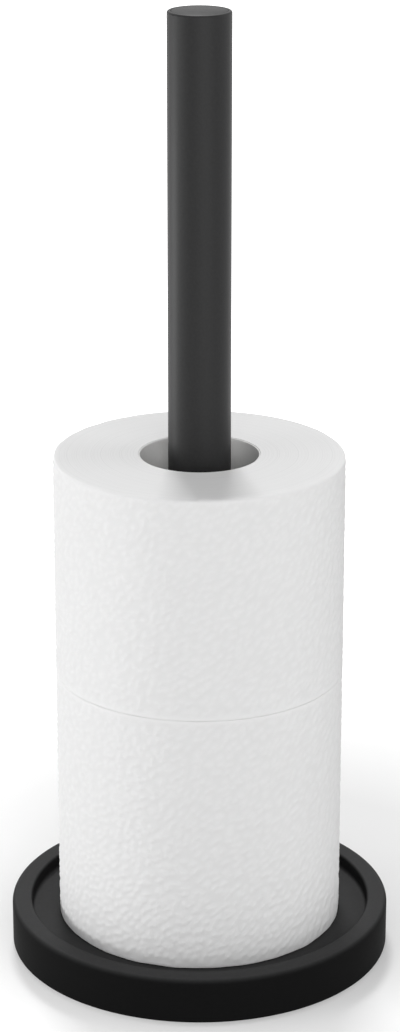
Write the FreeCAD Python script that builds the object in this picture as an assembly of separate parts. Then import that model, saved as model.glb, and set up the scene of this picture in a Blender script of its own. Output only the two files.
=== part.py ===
import FreeCAD, Part
import math
import os

# All sizes are millimetres and degrees. The holder stands on z = 0 and its rod runs up the z axis.

# Height to the flat end of the rod
holder_height = 390.0

# Base tray: one heavy casting with a dished floor inside a flat raised rim
tray_diameter = 156.5
tray_height = 20.5
rim_width = 8.3
recess_depth = 5.7
rim_outer_round = 2.0
rim_inner_round = 1.0
recess_round = 1.5
tray_foot_bevel = 0.8
round_flat = 1.6

# Non-slip pad glued under the tray, with a hole for the hex key
pad_thickness = 1.5
pad_inset = 5.0
pad_hole_diameter = 20.0

# Rod: a tube closed by a flush cap at the top and a tapped plug at the foot
rod_diameter = 25.0
rod_wall = 1.5
rod_edge_bevel = 0.8
cap_thickness = 4.0
plug_length = 22.0

# Clamp screw and its washers, sunk into the tray's underside
screw_diameter = 6.0
screw_length = 20.0
screw_hole_diameter = 6.6
counterbore_diameter = 14.0
head_diameter = 10.5
head_height = 3.3
head_bevel = 1.8
hex_key_width = 4.0
hex_key_depth = 2.1
flat_washer_diameter = 12.0
flat_washer_hole = 6.4
flat_washer_thickness = 1.6
spring_washer_diameter = 11.8
spring_washer_hole = 6.2
spring_washer_thickness = 1.6
spring_washer_slit = 1.4
spring_washer_slant = 25.0

# Paper rolls: a card core and a wound web that ends in one loose edge at the back
roll_gap = 11.25
core_hole_diameter = 47.4
core_wall = 0.6
lower_roll_height = 108.0
upper_roll_height = 91.0
paper_step = 0.5
lower_tail_angle = 70.0
upper_tail_angle = 118.0

# Clearances between pieces that fit into each other
press_clearance = 0.05
slip_clearance = 0.1

# Radii and heights that follow from the sizes above
tray_radius = tray_diameter / 2
recess_radius = tray_radius - rim_width
pad_radius = tray_radius - pad_inset
roll_radius = recess_radius - roll_gap
tray_underside = pad_thickness
floor_top = tray_height - recess_depth
rod_radius = rod_diameter / 2
rod_bore_radius = rod_radius - rod_wall
plug_radius = rod_bore_radius - press_clearance
screw_radius = screw_diameter / 2
head_bottom = tray_underside
head_top = head_bottom + head_height
spring_washer_top = head_top + spring_washer_thickness
counterbore_top = spring_washer_top + flat_washer_thickness
core_hole_radius = core_hole_diameter / 2
core_radius = core_hole_radius + core_wall
lower_roll_foot = floor_top
upper_roll_foot = lower_roll_foot + lower_roll_height

up = FreeCAD.Vector(0, 0, 1)
origin = FreeCAD.Vector(0, 0, 0)


def in_profile(radius, height):
    return FreeCAD.Vector(radius, 0, height)


def polar(centre, radius, angle):
    turn = math.radians(angle)
    return centre + FreeCAD.Vector(radius * math.cos(turn), radius * math.sin(turn), 0)


def rounded_corner(before, corner, after, radius):
    """Points along the tangent arc that rounds one corner: the arc is drawn as a few short flats."""
    back = (before - corner).normalize()
    ahead = (after - corner).normalize()
    half_angle = back.getAngle(ahead) / 2
    reach = radius / math.tan(half_angle)
    middle = corner + (back + ahead).normalize() * (radius / math.sin(half_angle) - radius)
    arc = Part.Arc(corner + back * reach, middle, corner + ahead * reach).toShape()
    flats = math.ceil(arc.Length / round_flat)
    return arc.discretize(flats + 1)


def turned(corners):
    """Solid of revolution about z from a closed outline of (radius, height, rounding) corners."""
    points = [in_profile(radius, height) for radius, height, rounding in corners]
    outline = []
    for index, (radius, height, rounding) in enumerate(corners):
        before, after = points[index - 1], points[(index + 1) % len(points)]
        if rounding > 0:
            outline += rounded_corner(before, points[index], after, rounding)
        else:
            outline.append(points[index])
    return Part.Face(Part.makePolygon(outline + outline[:1])).revolve(origin, up, 360)


def ring(outer_radius, inner_radius, bottom, top):
    return turned([
        (inner_radius, bottom, 0),
        (outer_radius, bottom, 0),
        (outer_radius, top, 0),
        (inner_radius, top, 0),
    ])


def base_tray():
    """Heavy dish, bored for the clamp screw and counterbored below for its head and washers."""
    screw_hole_radius = screw_hole_diameter / 2
    counterbore_radius = counterbore_diameter / 2
    return turned([
        (screw_hole_radius, floor_top, 0),
        (recess_radius, floor_top, recess_round),
        (recess_radius, tray_height, rim_inner_round),
        (tray_radius, tray_height, rim_outer_round),
        (tray_radius, tray_underside + tray_foot_bevel, 0),
        (tray_radius - tray_foot_bevel, tray_underside, 0),
        (counterbore_radius, tray_underside, 0),
        (counterbore_radius, counterbore_top, 0),
        (screw_hole_radius, counterbore_top, 0),
    ])


def non_slip_pad():
    return ring(pad_radius, pad_hole_diameter / 2, 0, pad_thickness)


def rod_tube():
    return turned([
        (rod_bore_radius, floor_top, 0),
        (rod_radius, floor_top, 0),
        (rod_radius, holder_height - rod_edge_bevel, 0),
        (rod_radius - rod_edge_bevel, holder_height, 0),
        (rod_bore_radius, holder_height, 0),
    ])


def rod_end_cap():
    bottom = holder_height - cap_thickness
    return turned([
        (0, bottom, 0),
        (plug_radius, bottom, 0),
        (plug_radius, holder_height, 0),
        (0, holder_height, 0),
    ])


def rod_foot_plug():
    """Tapped plug pressed into the tube's foot, which the clamp screw pulls down on to the tray."""
    thread_radius = screw_radius + slip_clearance
    return ring(plug_radius, thread_radius, floor_top, floor_top + plug_length)


def hexagon(width, bottom, height):
    reach = width / math.sqrt(3)
    centre = FreeCAD.Vector(0, 0, bottom)
    corners = [polar(centre, reach, 60 * side) for side in range(6)]
    outline = Part.makePolygon(corners + corners[:1])
    return Part.Face(outline).extrude(up * height)


def clamp_screw():
    """Button head screw, driven up from below with a hex key."""
    tip = head_top + screw_length
    head_radius = head_diameter / 2
    body = turned([
        (0, head_bottom, 0),
        (head_radius - head_bevel, head_bottom, 0),
        (head_radius, head_bottom + head_bevel, 0),
        (head_radius, head_top, 0),
        (screw_radius, head_top, 0),
        (screw_radius, tip, 0),
        (0, tip, 0),
    ])
    return body.cut(hexagon(hex_key_width, head_bottom, hex_key_depth))


def flat_washer():
    return ring(flat_washer_diameter / 2, flat_washer_hole / 2, spring_washer_top, counterbore_top)


def spring_washer():
    """Ring with one slanted slit, drawn flat under the screw head."""
    outer = spring_washer_diameter / 2
    coil = ring(outer, spring_washer_hole / 2, head_top, spring_washer_top)
    height = spring_washer_thickness * 3
    slit = Part.makeBox(outer, spring_washer_slit, height)
    slit.translate(FreeCAD.Vector(0, -spring_washer_slit / 2, -height / 2))
    slit.rotate(origin, FreeCAD.Vector(1, 0, 0), spring_washer_slant)
    slit.translate(up * (head_top + spring_washer_thickness / 2))
    return coil.cut(slit)


def roll_core(foot, height):
    return ring(core_radius, core_hole_radius, foot, foot + height)


def roll_paper(foot, height, tail_angle):
    """Wound web: the last turn climbs by one paper step in quarter arcs and ends in a straight edge."""
    radius = roll_radius
    climb = paper_step / 4
    centre = up * foot
    edges = []
    for quarter in range(4):
        start, middle, end = (tail_angle + 90 * quarter + turn for turn in (0, 45, 90))
        arc = Part.Arc(*(polar(centre, radius, angle) for angle in (start, middle, end)))
        edges.append(arc.toShape())
        radius -= climb
        centre = polar(centre, climb, end)
    edges.append(Part.makeLine(edges[-1].lastVertex().Point, edges[0].firstVertex().Point))
    web = Part.Face(Part.Wire(edges)).extrude(up * height)
    bore = Part.makeCylinder(core_radius + press_clearance, height, up * foot, up)
    return web.cut(bore)


pieces = {
    "base_tray": base_tray(),
    "non_slip_pad": non_slip_pad(),
    "rod_tube": rod_tube(),
    "rod_end_cap": rod_end_cap(),
    "rod_foot_plug": rod_foot_plug(),
    "clamp_screw": clamp_screw(),
    "flat_washer": flat_washer(),
    "spring_washer": spring_washer(),
    "lower_roll_core": roll_core(lower_roll_foot, lower_roll_height),
    "lower_roll_paper": roll_paper(lower_roll_foot, lower_roll_height, lower_tail_angle),
    "upper_roll_core": roll_core(upper_roll_foot, upper_roll_height),
    "upper_roll_paper": roll_paper(upper_roll_foot, upper_roll_height, upper_tail_angle),
}

os.makedirs("parts", exist_ok=True)
for name, shape in pieces.items():
    shape.exportStep(f"parts/{name}.step")
    print(name, "valid" if shape.isValid() else "not valid", len(shape.Solids), round(shape.Volume, 1))
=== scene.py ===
import math
import random

import bmesh
import bpy
import numpy as np
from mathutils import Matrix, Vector


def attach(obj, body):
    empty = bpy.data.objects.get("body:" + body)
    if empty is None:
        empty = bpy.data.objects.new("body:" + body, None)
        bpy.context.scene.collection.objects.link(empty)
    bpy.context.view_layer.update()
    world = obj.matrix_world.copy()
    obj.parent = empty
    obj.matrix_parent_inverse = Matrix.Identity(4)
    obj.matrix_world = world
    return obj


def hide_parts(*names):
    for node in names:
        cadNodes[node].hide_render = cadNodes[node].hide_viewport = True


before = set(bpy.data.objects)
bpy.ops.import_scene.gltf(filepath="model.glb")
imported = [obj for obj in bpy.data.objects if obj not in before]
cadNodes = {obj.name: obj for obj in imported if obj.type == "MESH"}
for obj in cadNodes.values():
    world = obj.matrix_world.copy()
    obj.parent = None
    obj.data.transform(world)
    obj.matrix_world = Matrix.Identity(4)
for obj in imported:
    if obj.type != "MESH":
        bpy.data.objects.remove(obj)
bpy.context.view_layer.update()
print("frame loaded with", len(cadNodes), "nodes")

# small helpers: every piece is drawn in metres round the rod, which stands on the origin

fullTurn = 2 * math.pi
levelNormal = 0.9  # a face lies level if its normal is steeper than this
ringReach = 5e-5  # how close to a circle its edges have to lie
hair = 1e-5  # less than any wall or edge


def deselectAll():
    bpy.ops.object.select_all(action="DESELECT")


def startCylinder(name, sides, radius, bottom, top, ends="NGON"):  # left in edit mode, to be shaped
    deselectAll()
    bpy.ops.mesh.primitive_cylinder_add(vertices=sides, radius=radius, depth=top - bottom, end_fill_type=ends,
                                        location=(0, 0, (top + bottom) / 2))
    piece = bpy.context.object
    piece.name = name
    piece.data.name = name
    bpy.ops.object.transform_apply(location=True, rotation=True, scale=True)
    bpy.ops.object.mode_set(mode="EDIT")
    return piece


def closePiece(piece, angle=35):
    bpy.ops.mesh.select_all(action="SELECT")
    bpy.ops.mesh.remove_doubles(threshold=1e-6)
    bpy.ops.mesh.normals_make_consistent(inside=False)
    bpy.ops.object.mode_set(mode="OBJECT")
    bpy.ops.object.shade_smooth_by_angle(angle=math.radians(angle))


def choose(kind, test):  # selects the faces or the edges that pass the test
    bpy.ops.mesh.select_mode(type=kind)
    bpy.ops.mesh.select_all(action="DESELECT")
    drawn = bmesh.from_edit_mesh(bpy.context.object.data)
    for item in drawn.faces if kind == "FACE" else drawn.edges:
        if test(item):
            item.select_set(True)
    bmesh.update_edit_mesh(bpy.context.object.data)


def fromRod(corner):
    return math.hypot(corner.co.x, corner.co.y)


def rise(edge):
    return abs(edge.verts[0].co.z - edge.verts[1].co.z)


def chooseRing(radius, height):  # the edges of one circle round the rod
    def onRing(corner):
        return abs(fromRod(corner) - radius) < ringReach and abs(corner.co.z - height) < ringReach

    choose("EDGE", lambda edge: all(onRing(corner) for corner in edge.verts))


def roundRing(radius, height, size, segments):
    chooseRing(radius, height)
    bpy.ops.mesh.bevel(offset=size, segments=segments, profile=0.5, affect="EDGES")


def raiseFaces(height):
    bpy.ops.mesh.extrude_region_move(TRANSFORM_OT_translate={"value": (0, 0, height)})


def boreThrough(thickness):  # a hole from the top to the foot, with this much left round it
    choose("FACE", lambda face: abs(face.normal.z) > levelNormal)
    bpy.ops.mesh.inset(thickness=thickness)
    bpy.ops.mesh.bridge_edge_loops()


def readVertices(piece, what):  # a row of three numbers for each vertex
    numbers = np.empty(len(piece.data.vertices) * 3)
    piece.data.vertices.foreach_get(what, numbers)
    return numbers.reshape(-1, 3)


def storeValues(piece, name, values):
    piece.data.attributes.new(name, "FLOAT", "POINT").data.foreach_set("value", values)


# materials

def newMaterial(name, colour, roughness, specular):
    material = bpy.data.materials.new(name)
    material.use_nodes = True
    shader = material.node_tree.nodes["Principled BSDF"]
    shader.inputs["Base Color"].default_value = (*colour, 1)
    shader.inputs["Roughness"].default_value = roughness
    shader.inputs["Specular IOR Level"].default_value = specular
    return material, material.node_tree, shader


def addNode(tree, kind, **values):
    node = tree.nodes.new(kind)
    for key, value in values.items():
        if key in node.inputs:
            node.inputs[key].default_value = value
        else:
            setattr(node, key, value)
    return node


def addNoise(tree, scale, detail, roughness=0.5):
    return addNode(tree, "ShaderNodeTexNoise", Scale=scale, Detail=detail, Roughness=roughness)


def addMix(tree, first, second):  # Fac runs from the first colour to the second
    return addNode(tree, "ShaderNodeMixRGB", Color1=(*first, 1), Color2=(*second, 1))


def addRange(tree, low, high, start=0, end=1):  # start to end becomes low to high
    node = tree.nodes.new("ShaderNodeMapRange")
    for key, value in (("From Min", start), ("From Max", end), ("To Min", low), ("To Max", high)):
        node.inputs[key].default_value = value
    return node


def addBump(tree, shader, height, strength, distance=0.0002, before=None):
    bump = addNode(tree, "ShaderNodeBump", Strength=strength, Distance=distance)
    tree.links.new(height, bump.inputs["Height"])
    if before:
        tree.links.new(before.outputs["Normal"], bump.inputs["Normal"])
    tree.links.new(bump.outputs["Normal"], shader.inputs["Normal"])
    return bump


def addGloss(tree, shader, source, s):  # the roughness wanders a little with the source
    gloss = addRange(tree, s["roughness"] - s["glossSpread"], s["roughness"] + s["glossSpread"])
    tree.links.new(source.outputs["Fac"], gloss.inputs["Value"])
    tree.links.new(gloss.outputs["Result"], shader.inputs["Roughness"])


def coatMaterial(name, s):  # powder coat: fine orange peel, a faint mottle in tone and gloss
    material, tree, shader = newMaterial(name, s["colour"], s["roughness"], s["specular"])
    place = addNode(tree, "ShaderNodeTexCoord")
    peel = addNoise(tree, s["peelScale"], 3.0, 0.6)
    mottle = addNoise(tree, s["mottleScale"], 2.0)
    tone = addMix(tree, s["colour"], s["lightColour"])
    for texture in (peel, mottle):
        tree.links.new(place.outputs["Object"], texture.inputs["Vector"])
    tree.links.new(mottle.outputs["Fac"], tone.inputs["Fac"])
    tree.links.new(tone.outputs["Color"], shader.inputs["Base Color"])
    addGloss(tree, shader, mottle, s)
    addBump(tree, shader, peel.outputs["Fac"], s["peelStrength"])
    if "wallShadeTone" in s:  # painted shade: deeper black where the piece's own attribute says that it turns to the side or faces down
        wallShade = addNode(tree, "ShaderNodeAttribute", attribute_name="wallShade")
        wallShaded = addNode(tree, "ShaderNodeMixRGB", blend_type="MULTIPLY", Color2=(*s["wallShadeTone"], 1))
        tree.links.new(wallShade.outputs["Fac"], wallShaded.inputs["Fac"])
        tree.links.new(tone.outputs["Color"], wallShaded.inputs["Color1"])
        tree.links.new(wallShaded.outputs["Color"], shader.inputs["Base Color"])
    return material


rodCoat = {"colour": (0.019, 0.019, 0.0194), "lightColour": (0.026, 0.026, 0.0264),
           "roughness": 0.46, "specular": 0.14, "glossSpread": 0.04,
           "peelScale": 1800, "mottleScale": 900, "peelStrength": 0.14}
capCoat = {**rodCoat, "specular": 0.115}
# the wall tone is painted shade: it darkens the tray's walls, underside and outer rim
trayCoat = {"colour": (0.045, 0.045, 0.0455), "lightColour": (0.055, 0.055, 0.0555),
            "roughness": 0.55, "specular": 0.012, "glossSpread": 0.05,
            "peelScale": 1800, "mottleScale": 700, "peelStrength": 0.12, "wallShadeTone": (0.16, 0.16, 0.16)}
blackRodCoat = coatMaterial("blackRodCoat", rodCoat)
blackCapCoat = coatMaterial("blackCapCoat", capCoat)
blackTrayCoat = coatMaterial("blackTrayCoat", trayCoat)

tissue = {"colour": (0.825, 0.825, 0.825), "shadeColour": (0.795, 0.795, 0.795),
          "hollowShadeColour": (0.775, 0.775, 0.775), "layerColour": (0.77, 0.77, 0.77),
          "roughness": 0.92, "specular": 0.15, "glowWeight": 0.12, "glowDepth": 0.0012,
          "fibreScale": 1900, "fibreStrength": 0.16, "cloudScale": 60,
          "layerScale": 2300, "layerRange": (0.3, 0.5), "layerStrength": 0.15, "layerBump": 0.0003}


def paperMaterial(name, s):
    material, tree, shader = newMaterial(name, s["colour"], s["roughness"], s["specular"])
    shader.inputs["Subsurface Weight"].default_value = s["glowWeight"]
    shader.inputs["Subsurface Radius"].default_value = (1, 1, 1)
    shader.inputs["Subsurface Scale"].default_value = s["glowDepth"]
    place = addNode(tree, "ShaderNodeTexCoord")
    fibre = addNoise(tree, s["fibreScale"], 4.0, 0.65)
    tree.links.new(place.outputs["Object"], fibre.inputs["Vector"])
    bump = addBump(tree, shader, fibre.outputs["Fac"], s["fibreStrength"])
    return material, tree, shader, place, bump


def tissueMaterial(name, s):  # the outside of the web: soft fibres, faint clouds, and painted shade that makes it greyer between the grains
    material, tree, shader, place, bump = paperMaterial(name, s)
    cloud = addNoise(tree, s["cloudScale"], 3.0)
    tone = addMix(tree, s["shadeColour"], s["colour"])
    hollowDepthAndShade = addNode(tree, "ShaderNodeAttribute", attribute_name="hollowDepthAndShade")
    # painted shade: the hollows between the grains take the greyer colour
    pressed = addMix(tree, s["colour"], s["hollowShadeColour"])
    tree.links.new(place.outputs["Object"], cloud.inputs["Vector"])
    tree.links.new(cloud.outputs["Fac"], tone.inputs["Fac"])
    tree.links.new(tone.outputs["Color"], pressed.inputs["Color1"])
    tree.links.new(hollowDepthAndShade.outputs["Fac"], pressed.inputs["Fac"])
    tree.links.new(pressed.outputs["Color"], shader.inputs["Base Color"])
    return material


def layerMaterial(name, s):  # the ends of the roll: the edges of the wound layers, ring within ring
    material, tree, shader, place, bump = paperMaterial(name, s)
    flat = addNode(tree, "ShaderNodeVectorMath", operation="MULTIPLY")
    flat.inputs[1].default_value = (1, 1, 0)
    away = addNode(tree, "ShaderNodeVectorMath", operation="LENGTH")
    rings = addNoise(tree, s["layerScale"], 2.0)
    rings.noise_dimensions = "1D"
    spread = addRange(tree, 0, 1, *s["layerRange"])
    tone = addMix(tree, s["layerColour"], s["colour"])
    tree.links.new(place.outputs["Object"], flat.inputs[0])
    tree.links.new(flat.outputs["Vector"], away.inputs[0])
    tree.links.new(away.outputs["Value"], rings.inputs["W"])
    tree.links.new(rings.outputs["Fac"], spread.inputs["Value"])
    tree.links.new(spread.outputs["Result"], tone.inputs["Fac"])
    tree.links.new(tone.outputs["Color"], shader.inputs["Base Color"])
    addBump(tree, shader, rings.outputs["Fac"], s["layerStrength"], s["layerBump"], bump)
    return material


whiteTissue = tissueMaterial("whiteTissue", tissue)
tissueLayers = layerMaterial("tissueLayers", tissue)


def grainMaterial(name, s):  # card, rubber and steel: a grain in tone, gloss and height
    material, tree, shader = newMaterial(name, s["colour"], s["roughness"], s["specular"])
    shader.inputs["Metallic"].default_value = s["metallic"]
    place = addNode(tree, "ShaderNodeTexCoord")
    stretch = addNode(tree, "ShaderNodeMapping", Scale=s["stretch"])
    grain = addNoise(tree, s["grainScale"], 4.0, 0.6)
    tone = addMix(tree, s["colour"], s["lightColour"])
    tree.links.new(place.outputs["Object"], stretch.inputs["Vector"])
    tree.links.new(stretch.outputs["Vector"], grain.inputs["Vector"])
    tree.links.new(grain.outputs["Fac"], tone.inputs["Fac"])
    tree.links.new(tone.outputs["Color"], shader.inputs["Base Color"])
    addGloss(tree, shader, grain, s)
    addBump(tree, shader, grain.outputs["Fac"], s["grainStrength"])
    return material


card = {"colour": (0.82, 0.817, 0.806), "lightColour": (0.91, 0.907, 0.896),
        "roughness": 0.88, "glossSpread": 0.08, "specular": 0.2, "metallic": 0,
        "stretch": (1, 1, 0.35), "grainScale": 1500, "grainStrength": 0.3}
rubber = {"colour": (0.012, 0.012, 0.012), "lightColour": (0.026, 0.026, 0.026),
          "roughness": 0.8, "glossSpread": 0.08, "specular": 0.3, "metallic": 0,
          "stretch": (1, 1, 1), "grainScale": 1100, "grainStrength": 0.5}
steel = {"colour": (0.46, 0.46, 0.47), "lightColour": (0.62, 0.62, 0.63),
         "roughness": 0.36, "glossSpread": 0.08, "specular": 0.5, "metallic": 1,
         "stretch": (1, 1, 6), "grainScale": 700, "grainStrength": 0.12}
greyCard = grainMaterial("greyCard", card)
blackRubber = grainMaterial("blackRubber", rubber)
plainSteel = grainMaterial("plainSteel", steel)
print("materials made")


def finishPiece(piece, material, body, slot, *nodes):
    piece.data.materials.clear()
    piece.data.materials.append(material)
    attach(piece, body)
    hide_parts(*nodes)


def addFinish(piece, material, test):  # a second finish on the faces that pass the test
    piece.data.materials.append(material)
    piece.active_material_index = len(piece.data.materials) - 1
    deselectAll()
    piece.select_set(True)
    bpy.context.view_layer.objects.active = piece
    bpy.ops.object.mode_set(mode="EDIT")
    choose("FACE", test)
    bpy.ops.object.material_slot_assign()
    bpy.ops.object.mode_set(mode="OBJECT")


# base tray: one casting with a sunk floor inside a flat rim; each round is a size and a number of segments

tray = {"sides": 288, "radius": 0.07825, "top": 0.0205, "foot": 0.0015, "rim": 0.0083, "recess": 0.0057,
        "outerRound": (0.0022, 9), "innerRound": (0.0012, 6),
        "floorRound": (0.0015, 6), "footRound": (0.0008, 3),
        "boreRadius": 0.007, "boreTop": 0.008, "holeRadius": 0.0033,
        "rimShade": 0.1, "wallStart": 0.35, "underStart": -0.3}


def makeTray(s):
    piece = startCylinder("baseTrayCasting", s["sides"], s["radius"], s["foot"], s["top"])
    recessRadius = s["radius"] - s["rim"]
    choose("FACE", lambda face: face.normal.z > levelNormal)
    bpy.ops.mesh.inset(thickness=s["rim"])
    raiseFaces(-s["recess"])
    bpy.ops.mesh.inset(thickness=recessRadius - s["holeRadius"])
    choose("FACE", lambda face: face.normal.z < -levelNormal)
    bpy.ops.mesh.inset(thickness=s["radius"] - s["boreRadius"])
    raiseFaces(s["boreTop"] - s["foot"])
    bpy.ops.mesh.inset(thickness=s["boreRadius"] - s["holeRadius"])
    choose("FACE", lambda face: len(face.verts) == s["sides"])  # the two ends of the screw hole
    bpy.ops.mesh.bridge_edge_loops()
    roundRing(s["radius"], s["top"], *s["outerRound"])
    roundRing(recessRadius, s["top"], *s["innerRound"])
    roundRing(recessRadius, s["top"] - s["recess"], *s["floorRound"])
    roundRing(s["radius"], s["foot"], *s["footRound"])
    closePiece(piece)
    return piece


def paintWallShade(piece, s):  # painted shade: 0 on the floor, a little across the rim, 1 on the walls and the underside
    place = readVertices(piece, "co")
    normal = readVertices(piece, "normal")
    sideways = np.hypot(normal[:, 0], normal[:, 1])
    wall = np.clip((sideways - s["wallStart"]) / (1 - s["wallStart"]), 0, 1)
    across = np.clip((np.hypot(place[:, 0], place[:, 1]) - s["radius"] + s["rim"]) / s["rim"], 0, 1)
    wallShade = s["rimShade"] * across + (1 - s["rimShade"]) * wall
    storeValues(piece, "wallShade", np.where(normal[:, 2] < s["underStart"], 1, wallShade))


trayPiece = makeTray(tray)
paintWallShade(trayPiece, tray)
finishPiece(trayPiece, blackTrayCoat, "holder", "black_coat", "base_tray")
print("tray made,", len(trayPiece.data.polygons), "faces")

# rod: tube with a soft edge, and the cap let into its end

rod = {"sides": 192, "radius": 0.0125, "wall": 0.0015, "foot": 0.0148, "top": 0.39,
       "edgeRound": (0.0008, 4), "boreRound": (0.00018, 2)}
cap = {"sides": 160, "radius": 0.01095, "thickness": 0.004, "edgeRound": (0.00022, 2)}


def makeRod(s):
    piece = startCylinder("rodTubeWall", s["sides"], s["radius"], s["foot"], s["top"])
    boreThrough(s["wall"])
    roundRing(s["radius"], s["top"], *s["edgeRound"])
    roundRing(s["radius"] - s["wall"], s["top"], *s["boreRound"])
    closePiece(piece)
    return piece


def makeCap(s, top):
    piece = startCylinder("rodEndDisc", s["sides"], s["radius"], top - s["thickness"], top)
    roundRing(s["radius"], top, *s["edgeRound"])
    closePiece(piece)
    return piece


rodPiece = makeRod(rod)
finishPiece(rodPiece, blackRodCoat, "holder", "black_coat", "rod_tube")
capPiece = makeCap(cap, rod["top"])
finishPiece(capPiece, blackCapCoat, "holder", "black_coat", "rod_end_cap")
print("rod and cap made")

# pad under the tray, soft edged, with the hole for the hex key

pad = {"sides": 192, "radius": 0.07325, "thickness": 0.0015, "holeRadius": 0.01,
       "edgeRound": (0.0004, 3), "holeRound": (0.0004, 2)}


def makePad(s):
    piece = startCylinder("nonSlipPadRing", s["sides"], s["radius"], 0, s["thickness"])
    boreThrough(s["radius"] - s["holeRadius"])
    for height in (0, s["thickness"]):
        roundRing(s["radius"], height, *s["edgeRound"])
        roundRing(s["holeRadius"], height, *s["holeRound"])
    closePiece(piece)
    return piece


padPiece = makePad(pad)
finishPiece(padPiece, blackRubber, "holder", "black_rubber", "non_slip_pad")
print("pad made")

# clamp screw: domed head with a hex socket, seen from below through the pad

screw = {"sides": 72, "headRadius": 0.00525, "headFoot": 0.0015, "headTop": 0.0048, "shankRadius": 0.003,
         "tip": 0.0248, "domeRound": (0.0018, 6), "tipBevel": (0.0006, 1), "socketWidth": 0.004,
         "socketDepth": 0.0021, "smoothAngle": 30}


def makeScrew(s):
    piece = startCylinder("clampScrewBody", s["sides"], s["headRadius"], s["headFoot"], s["headTop"])
    choose("FACE", lambda face: face.normal.z > levelNormal)
    bpy.ops.mesh.inset(thickness=s["headRadius"] - s["shankRadius"])
    raiseFaces(s["tip"] - s["headTop"])
    roundRing(s["shankRadius"], s["tip"], *s["tipBevel"])
    roundRing(s["headRadius"], s["headFoot"], *s["domeRound"])
    choose("FACE", lambda face: face.normal.z < -levelNormal and len(face.verts) == s["sides"])
    bpy.ops.mesh.inset(thickness=s["headRadius"] - s["domeRound"][0] - s["socketWidth"] / 2)
    drawn = bmesh.from_edit_mesh(piece.data)
    for corner in (v for v in drawn.verts if v.select):  # the ring is pushed out to a hexagon
        angle = math.atan2(corner.co.y, corner.co.x) % math.radians(60) - math.radians(30)
        reach = s["socketWidth"] / 2 / math.cos(angle) / fromRod(corner)
        corner.co.x, corner.co.y = corner.co.x * reach, corner.co.y * reach
    bmesh.update_edit_mesh(piece.data)
    raiseFaces(s["socketDepth"])
    closePiece(piece, s["smoothAngle"])
    return piece


screwPiece = makeScrew(screw)
finishPiece(screwPiece, plainSteel, "holder", "plain_steel", "clamp_screw")
for node in ("rod_foot_plug", "flat_washer", "spring_washer"):
    cadNodes[node].data.materials.clear()
    cadNodes[node].data.materials.append(plainSteel)
print("screw made")

# paper rolls: one wound web each, embossed, with soft edges and a free end at the back

paper = {"radius": 0.0587, "coreRadius": 0.02435, "columns": 560, "step": 0.0005, "slit": 0.0012,
         "tooth": 0.0006, "toothPitch": 0.003, "softTurns": (0.52, 1.05, 1.57), "endRings": 11,
         "endUneven": 0.00006, "layerRadius": 0.0567, "fade": 0.0025, "softBand": 0.006,
         "edgeReach": 0.0012, "crumple": 0.011, "smoothAngle": 60}
grains = {"pitch": (0.004, 0.0027), "size": (0.0018, 0.00085), "height": 0.0004, "lean": 38, "twist": 0.6,
          "stray": 0.9, "rowWander": 0.0006, "rowBend": 0.006, "rowSwing": 2, "rowSlow": 3,
          "rowShift": (0.5, 0.23), "chance": (12.99, 78.23, 43758.5), "chanceUp": 7.13, "chanceTwist": 3.7}
lowerRoll = {"foot": 0.0148, "height": 0.108, "tail": 70, "cuts": (9, 13), "seed": 3,
             "topSoft": (0.00015, 0.002), "footSoft": (0.0006, 0.0007),
             "topCrumple": 0.0002, "footCrumple": 0.0006}
upperRoll = {"foot": 0.1228, "height": 0.091, "tail": 118, "cuts": (7, 15), "seed": 8,
             "topSoft": (0.0015, 0.0013), "footSoft": (0.00015, 0.002),
             "topCrumple": 0.0006, "footCrumple": 0.0002}


def drawEnd(s, roll, way, soft):  # way is 1 on the top end, -1 on the foot; the edge is soft across and up
    uneven = random.Random(roll["seed"] + way)
    across, up = soft
    flat = s["radius"] - across
    moves = [(flat + across * math.cos(turn), way * up * math.sin(turn)) for turn in s["softTurns"]]
    for ring in range(1, s["endRings"]):
        inward = ring * (flat - s["coreRadius"]) / s["endRings"]
        moves.append((flat - inward, way * (up - uneven.random() * s["endUneven"])))
    moves.append((s["coreRadius"], way * up))
    chooseRing(s["radius"], roll["foot"] + (roll["height"] - up if way > 0 else up))
    here = (s["radius"], 0)
    for there in moves:
        raiseFaces(there[1] - here[1])
        shrink = there[0] / here[0]
        bpy.ops.transform.resize(value=(shrink, shrink, 1), center_override=(0, 0, 0))
        here = there


def windTurn(piece, columns, slit):  # where points are round the rod; the last column goes to the free end
    place = readVertices(piece, "co")
    turn = np.arctan2(place[:, 1], place[:, 0]) % fullTurn
    turn[turn > fullTurn * (1 - 0.5 / columns)] = 0
    turn[turn > fullTurn * (1 - 1.5 / columns)] = fullTurn - slit
    return place[:, 2], np.hypot(place[:, 0], place[:, 1]), turn


def setWound(piece, radius, angle, height):
    place = np.column_stack((radius * np.cos(angle), radius * np.sin(angle), height))
    piece.data.vertices.foreach_set("co", place.ravel())
    piece.data.update()


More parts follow.
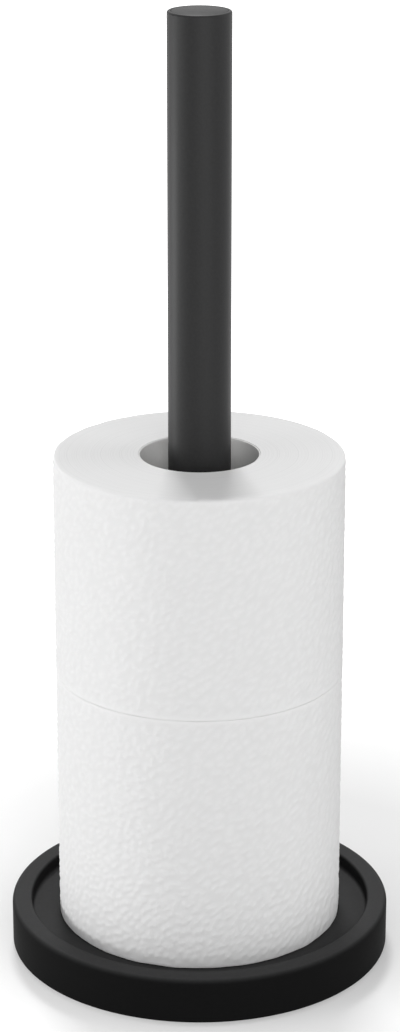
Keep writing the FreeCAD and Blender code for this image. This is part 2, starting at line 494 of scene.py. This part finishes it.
def embossRelief(along, up, g, seed):  # 1 on the crown of a grain, 0 between, in leaning rows
    bend, slow = g["rowBend"], g["rowBend"] * g["rowSlow"]
    sideways = g["rowWander"] * np.sin(up / bend + g["rowSwing"] * np.sin(along / slow + seed))
    upward = g["rowWander"] * np.sin(along / bend + g["rowSwing"] * np.sin(up / slow + seed))
    along, up = along + sideways, up + upward  # the rows wander, so that they don't read as a grid
    lean = math.radians(g["lean"])
    u = (along * math.cos(lean) + up * math.sin(lean)) / g["pitch"][0]
    v = (up * math.cos(lean) - along * math.sin(lean)) / g["pitch"][1]
    relief = np.zeros_like(u)
    for rowStep in (-1, 0, 1):
        row = np.floor(v) + rowStep
        shift = g["rowShift"][0] * (row % 2) + g["rowShift"][1] * (row % 3)
        for columnStep in (-1, 0, 1):
            column = np.floor(u - shift) + columnStep
            chance = np.sin(column * g["chance"][0] + row * g["chance"][1] + seed) * g["chance"][2]
            a = (u - shift - column - 0.5 - (chance % 1 - 0.5) * g["stray"]) * g["pitch"][0]
            b = (v - row - 0.5 - (chance * g["chanceUp"] % 1 - 0.5) * g["stray"]) * g["pitch"][1]
            twist = (chance * g["chanceTwist"] % 1 - 0.5) * g["twist"]
            longWay = a * np.cos(twist) + b * np.sin(twist)
            wideWay = b * np.cos(twist) - a * np.sin(twist)
            grain = np.exp(-(longWay / g["size"][0]) ** 2 - (wideWay / g["size"][1]) ** 2)
            relief = np.maximum(relief, grain)
    return relief


def windWeb(piece, s, g, roll):  # the last turn sinks by one step, and grains are pressed into the outside; the depth between them also sets painted shade
    height, radius, turn = windTurn(piece, s["columns"], s["slit"])
    outside = radius > s["radius"] - hair
    toEdge = np.minimum(height - roll["foot"], roll["foot"] + roll["height"] - height)
    relief = embossRelief(turn * s["radius"], height, g, roll["seed"])
    # how deep each point lies between the grains, used both for the pressing and for painted shade
    hollowDepthAndShade = outside * np.clip(toEdge / s["fade"], 0, 1) * (1 - relief)
    torn = (turn == 0) & outside  # the free edge was torn along its perforations
    teeth = torn * s["tooth"] / s["radius"] * (0.5 + 0.5 * np.sin(height * fullTurn / s["toothPitch"]))
    share = (radius - s["coreRadius"]) / (s["radius"] - s["coreRadius"])
    sunk = s["step"] * share * turn / fullTurn + hollowDepthAndShade * g["height"]
    setWound(piece, radius - sunk, turn - teeth + math.radians(roll["tail"]), height)
    storeValues(piece, "hollowDepthAndShade", hollowDepthAndShade)


def crumpleEdges(piece, s, roll):  # the two edges are pressed in unevenly
    groups = {name: piece.vertex_groups.new(name=name) for name in ("topEdge", "footEdge")}
    rows = {}
    for vertex in piece.data.vertices:
        if fromRod(vertex) > s["radius"] - s["step"] - s["edgeReach"]:
            rows.setdefault(round(vertex.co.z, 6), []).append(vertex.index)
    for height, members in rows.items():
        fromFoot, fromTop = height - roll["foot"], roll["foot"] + roll["height"] - height
        groups["topEdge"].add(members, max(0, 1 - fromTop / s["softBand"]) ** 2, "REPLACE")
        groups["footEdge"].add(members, max(0, 1 - fromFoot / s["softBand"]) ** 2, "REPLACE")
    crumple = bpy.data.textures.new("edgeCrumple", "CLOUDS")
    crumple.noise_scale = s["crumple"]
    crumple.noise_depth = 1
    bpy.context.view_layer.objects.active = piece
    for group, depth in (("topEdge", roll["topCrumple"]), ("footEdge", roll["footCrumple"])):
        press = piece.modifiers.new(group, "DISPLACE")
        press.texture, press.texture_coords = crumple, "LOCAL"
        press.vertex_group = group
        press.strength, press.mid_level = -depth, 0
    for modifier in list(piece.modifiers):
        bpy.ops.object.modifier_apply(modifier=modifier.name)
    piece.vertex_groups.clear()


def makeRoll(name, s, g, roll):
    bottom = roll["foot"] + roll["footSoft"][1]
    top = roll["foot"] + roll["height"] - roll["topSoft"][1]
    piece = startCylinder(name, s["columns"], s["radius"], bottom, top, "NOTHING")
    drawEnd(s, roll, 1, roll["topSoft"])
    drawEnd(s, roll, -1, roll["footSoft"])
    choose("EDGE", lambda edge: max(fromRod(corner) for corner in edge.verts) < s["coreRadius"] + hair)
    bpy.ops.mesh.bridge_edge_loops()

    def uprightOutside(edge):
        return rise(edge) > hair and all(fromRod(corner) > s["radius"] - hair for corner in edge.verts)

    for cuts in roll["cuts"]:
        choose("EDGE", uprightOutside)
        bpy.ops.mesh.subdivide(number_cuts=cuts)
    closePiece(piece, s["smoothAngle"])
    windWeb(piece, s, g, roll)
    crumpleEdges(piece, s, roll)
    return piece


# card cores: two strips wound in a spiral, the inner one's edge showing as a fine step

core = {"columns": 120, "radius": 0.0243, "wall": 0.0006, "short": 0.0002, "edgeRound": (0.00015, 2),
        "rows": 60, "step": 0.0002, "slit": 0.003, "pitch": 0.11, "smoothAngle": 30}


def makeCore(name, s, roll):
    bottom = roll["foot"] + s["short"]
    top = roll["foot"] + roll["height"] - s["short"]
    piece = startCylinder(name, s["columns"], s["radius"], bottom, top)
    boreThrough(s["wall"])
    for end in (bottom, top):
        for radius in (s["radius"], s["radius"] - s["wall"]):
            roundRing(radius, end, *s["edgeRound"])
    choose("EDGE", lambda edge: rise(edge) > (top - bottom) / 2)
    bpy.ops.mesh.subdivide(number_cuts=s["rows"] - 1)
    closePiece(piece, s["smoothAngle"])
    height, radius, turn = windTurn(piece, s["columns"], s["slit"])
    inside = np.clip((s["radius"] - radius) / s["wall"], 0, 1)
    climbed = radius + s["step"] * inside * turn / fullTurn
    setWound(piece, climbed, turn + height * fullTurn / s["pitch"], height)
    return piece


def onEnd(face):  # the flat ends show the layers, the soft edges don't
    away = math.hypot(*face.calc_center_median().xy)
    return abs(face.normal.z) > levelNormal and away < paper["layerRadius"]


for name, roll, body in (("lowerRoll", lowerRoll, "lower_roll"), ("upperRoll", upperRoll, "upper_roll")):
    web = makeRoll(name + "Web", paper, grains, roll)
    finishPiece(web, whiteTissue, body, "white_tissue", body + "_paper")
    addFinish(web, tissueLayers, onEnd)
    tube = makeCore(name + "Tube", core, roll)
    finishPiece(tube, greyCard, body, "grey_card", body + "_core")
    print(name, "made,", len(web.data.polygons), "faces and", len(tube.data.polygons), "in its core")

# camera where the photograph was taken from

view = {"place": (0.00018, -1.12901, 0.58341), "tilt": 19.3342, "lens": 104.147, "sensor": 36}
bpy.ops.object.camera_add(location=view["place"], rotation=(math.radians(90 - view["tilt"]), 0, 0))
camera = bpy.context.object
camera.data.lens = view["lens"]
camera.data.sensor_width = view["sensor"]
bpy.context.scene.camera = camera

# floor and light: white where the camera looks, a plain level on the object

studio = {"floorSize": 8, "floorDrop": 0.0002, "floorColour": (0.6, 0.6, 0.6), "floorRoughness": 0.9,
          "floorSpecular": 0.1, "glowCentre": (0.04, 0.06, 0), "near": 0.08, "far": 0.4,
          "nearGlow": 0.22, "farGlow": 1, "ambient": 0.37, "white": 1}


def rayMask(tree):  # 1 for rays that show the background, straight or in a reflection
    path = addNode(tree, "ShaderNodeLightPath")
    first = addNode(tree, "ShaderNodeMath", operation="MAXIMUM")
    both = addNode(tree, "ShaderNodeMath", operation="MAXIMUM")
    tree.links.new(path.outputs["Is Camera Ray"], first.inputs[0])
    tree.links.new(path.outputs["Is Glossy Ray"], first.inputs[1])
    tree.links.new(first.outputs[0], both.inputs[0])
    tree.links.new(path.outputs["Is Transmission Ray"], both.inputs[1])
    return both.outputs[0]


def makeFloor(s):
    deselectAll()
    bpy.ops.mesh.primitive_plane_add(size=s["floorSize"], location=(0, 0, -s["floorDrop"]))
    floor = bpy.context.object
    floor.name = "studioFloor"
    material, tree, shader = newMaterial("paleFloor", s["floorColour"], s["floorRoughness"],
                                         s["floorSpecular"])
    shader.inputs["Emission Color"].default_value = (1, 1, 1, 1)
    place = addNode(tree, "ShaderNodeTexCoord")
    # painted light: the floor glows for the camera and for reflections, least round a point behind and right
    # of the rod, so the object's shadow shows there and fades out in front and far off
    away = addNode(tree, "ShaderNodeVectorMath", operation="DISTANCE")
    away.inputs[1].default_value = s["glowCentre"]
    level = addRange(tree, s["nearGlow"], s["farGlow"], s["near"], s["far"])
    glow = addNode(tree, "ShaderNodeMath", operation="MULTIPLY")
    tree.links.new(place.outputs["Object"], away.inputs[0])
    tree.links.new(away.outputs["Value"], level.inputs["Value"])
    tree.links.new(rayMask(tree), glow.inputs[0])
    tree.links.new(level.outputs["Result"], glow.inputs[1])
    tree.links.new(glow.outputs[0], shader.inputs["Emission Strength"])
    floor.data.materials.append(material)


def makeWorld(s):
    world = bpy.data.worlds.new("studioWhite")
    world.use_nodes = True
    bpy.context.scene.world = world
    tree = world.node_tree
    back = tree.nodes["Background"]
    back.inputs["Color"].default_value = (1, 1, 1, 1)
    level = addRange(tree, s["ambient"], s["white"])
    tree.links.new(rayMask(tree), level.inputs["Value"])
    tree.links.new(level.outputs["Result"], back.inputs["Strength"])


lamps = {
    "leftFront": {"place": (-1.25, -0.45, 0.4), "aim": (0, 0, 0.2), "size": (0.7, 0.7), "power": 3.95},
    "leftLow": {"place": (-1.28, 0.22, 0.12), "aim": (0, 0, 0.25), "size": (0.4, 0.2), "power": 5.9},
    "rightFront": {"place": (0.7, -1.45, 0.45), "aim": (0, 0, 0.17), "size": (1.1, 0.8), "power": 6.6},
    "midFront": {"place": (0, -1.4, 0.7), "aim": (0, 0, 0.1), "size": (0.6, 0.5), "power": 3.6},
    "highFront": {"place": (0.7, -1.25, 0.85), "aim": (0, 0, 0.17), "size": (0.8, 0.5), "power": 0.9},
    "highRight": {"place": (1.36, 0, 0.85), "aim": (0, 0, 0.15), "size": (0.8, 0.6), "power": 3.6},
    "highBack": {"place": (-0.2, 2.48, 3.6), "aim": (0, 0, 0.2), "size": (0.8, 0.8), "power": 87},
}


def makeLamp(name, s):
    deselectAll()
    bpy.ops.object.light_add(type="AREA", location=s["place"])
    lamp = bpy.context.object
    lamp.name = name
    lamp.data.shape = "RECTANGLE"
    lamp.data.size, lamp.data.size_y = s["size"]
    lamp.data.energy = s["power"]
    lamp.rotation_euler = (Vector(s["aim"]) - Vector(s["place"])).to_track_quat("-Z", "Y").to_euler()


makeFloor(studio)
makeWorld(studio)
for name, lamp in lamps.items():
    makeLamp(name, lamp)
print("floor, world and", len(lamps), "lamps made")

bpy.context.scene.view_settings.view_transform = "Standard"
